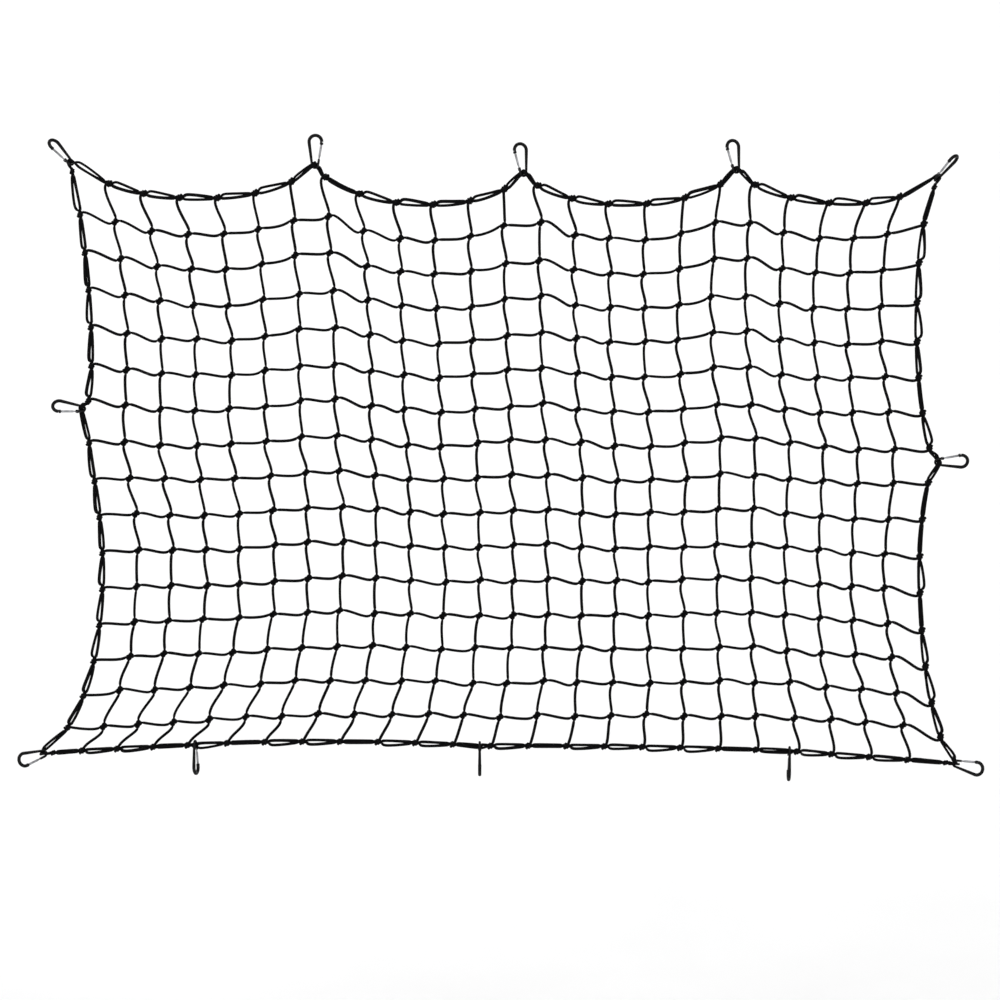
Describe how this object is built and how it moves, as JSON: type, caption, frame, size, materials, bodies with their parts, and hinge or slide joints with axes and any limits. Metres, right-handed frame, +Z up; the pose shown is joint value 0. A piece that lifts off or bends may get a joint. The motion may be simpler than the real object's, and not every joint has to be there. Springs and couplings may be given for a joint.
{
  "type": "cargo net",
  "caption": "Knotted elastic cargo net with a doubled edge and steel snap hooks at its corners and along its sides, hung upright by the hooks.",
  "frame": {"origin": "the place in the wide end of the top middle snap hook where the bar that carries it bears", "axes": "+X along the net's length, to the right as seen from the front; +Y to the back, away from the viewer; +Z up"},
  "size_m": [2.0373, 0.0588, 1.3705],
  "materials": {
    "cord": "matt black braided sheath over elastic strands",
    "border": "matt black braided sheath over elastic strands",
    "hook": "satin black coated steel bar",
    "gate": "bare steel"
  },
  "bodies": {
    "net": {"net": "cord", "border_cord": "border", "hook_top_left": "hook", "hook_top_2": "hook", "hook_top_middle": "hook", "hook_top_4": "hook", "hook_top_right": "hook", "hook_side_right": "hook", "hook_bottom_right": "hook", "hook_bottom_3": "hook", "hook_bottom_2": "hook", "hook_bottom_1": "hook", "hook_bottom_left": "hook", "hook_side_left": "hook"},
    "gate_top_left": {"gate_top_left": "gate"},
    "gate_top_2": {"gate_top_2": "gate"},
    "gate_top_middle": {"gate_top_middle": "gate"},
    "gate_top_4": {"gate_top_4": "gate"},
    "gate_top_right": {"gate_top_right": "gate"},
    "gate_side_right": {"gate_side_right": "gate"},
    "gate_bottom_right": {"gate_bottom_right": "gate"},
    "gate_bottom_3": {"gate_bottom_3": "gate"},
    "gate_bottom_2": {"gate_bottom_2": "gate"},
    "gate_bottom_1": {"gate_bottom_1": "gate"},
    "gate_bottom_left": {"gate_bottom_left": "gate"},
    "gate_side_left": {"gate_side_left": "gate"}
  },
  "joints": [
    {"name": "gate_top_left_hinge", "type": "hinge", "parent": "net", "child": "gate_top_left", "pos_m": [-0.96338, -0.00626, -0.03223], "axis": [-0.5819, 0.6157, -0.5314], "range_deg": [0, 25], "stiffness_Nm_per_rad": 0.05, "springref_deg": -28.65},
    {"name": "gate_top_2_hinge", "type": "hinge", "parent": "net", "child": "gate_top_2", "pos_m": [-0.42586, 0, -0.03187], "axis": [0, -1, 0], "range_deg": [0, 25], "stiffness_Nm_per_rad": 0.05, "springref_deg": -28.65},
    {"name": "gate_top_middle_hinge", "type": "hinge", "parent": "net", "child": "gate_top_middle", "pos_m": [-0.00095, -0.00272, -0.0501], "axis": [-0.3391, 0.9397, -0.0446], "range_deg": [0, 25], "stiffness_Nm_per_rad": 0.05, "springref_deg": -28.65},
    {"name": "gate_top_4_hinge", "type": "hinge", "parent": "net", "child": "gate_top_4", "pos_m": [0.45018, -0.00272, -0.04316], "axis": [-0.3383, 0.9397, -0.0506], "range_deg": [0, 25], "stiffness_Nm_per_rad": 0.05, "springref_deg": -28.65},
    {"name": "gate_top_right_hinge", "type": "hinge", "parent": "net", "child": "gate_top_right", "pos_m": [0.88765, -0.00972, -0.0621], "axis": [-0.6249, 0.3947, 0.6736], "range_deg": [0, 25], "stiffness_Nm_per_rad": 0.05, "springref_deg": -28.65},
    {"name": "gate_side_right_hinge", "type": "hinge", "parent": "net", "child": "gate_side_right", "pos_m": [0.8972, -0.00272, -0.66415], "axis": [-0.0119, 0.9397, 0.3418], "range_deg": [0, 25], "stiffness_Nm_per_rad": 0.05, "springref_deg": -28.65},
    {"name": "gate_bottom_right_hinge", "type": "hinge", "parent": "net", "child": "gate_bottom_right", "pos_m": [0.93474, -0.00587, -1.30538], "axis": [0.5183, 0.848, -0.1102], "range_deg": [0, 25], "stiffness_Nm_per_rad": 0.05, "springref_deg": -28.65},
    {"name": "gate_bottom_3_hinge", "type": "hinge", "parent": "net", "child": "gate_bottom_3", "pos_m": [0.57165, 0.00795, -1.29326], "axis": [-0.9995, 0, 0.0314], "range_deg": [0, 25], "stiffness_Nm_per_rad": 0.05, "springref_deg": -28.65},
    {"name": "gate_bottom_2_hinge", "type": "hinge", "parent": "net", "child": "gate_bottom_2", "pos_m": [-0.0848, 0.00795, -1.28267], "axis": [-1, 0, 0], "range_deg": [0, 25], "stiffness_Nm_per_rad": 0.05, "springref_deg": -28.65},
    {"name": "gate_bottom_1_hinge", "type": "hinge", "parent": "net", "child": "gate_bottom_1", "pos_m": [-0.68569, 0.00771, -1.28], "axis": [-0.9697, 0.2419, -0.0339], "range_deg": [0, 25], "stiffness_Nm_per_rad": 0.05, "springref_deg": -28.65},
    {"name": "gate_bottom_left_hinge", "type": "hinge", "parent": "net", "child": "gate_bottom_left", "pos_m": [-1.01446, -0.00712, -1.29998], "axis": [-0.6179, 0.766, -0.1772], "range_deg": [0, 25], "stiffness_Nm_per_rad": 0.05, "springref_deg": -28.65},
    {"name": "gate_side_left_hinge", "type": "hinge", "parent": "net", "child": "gate_side_left", "pos_m": [-0.9389, -0.00421, -0.56486], "axis": [-0.0637, 0.848, -0.5261], "range_deg": [0, 25], "stiffness_Nm_per_rad": 0.05, "springref_deg": -28.65}
  ]
}
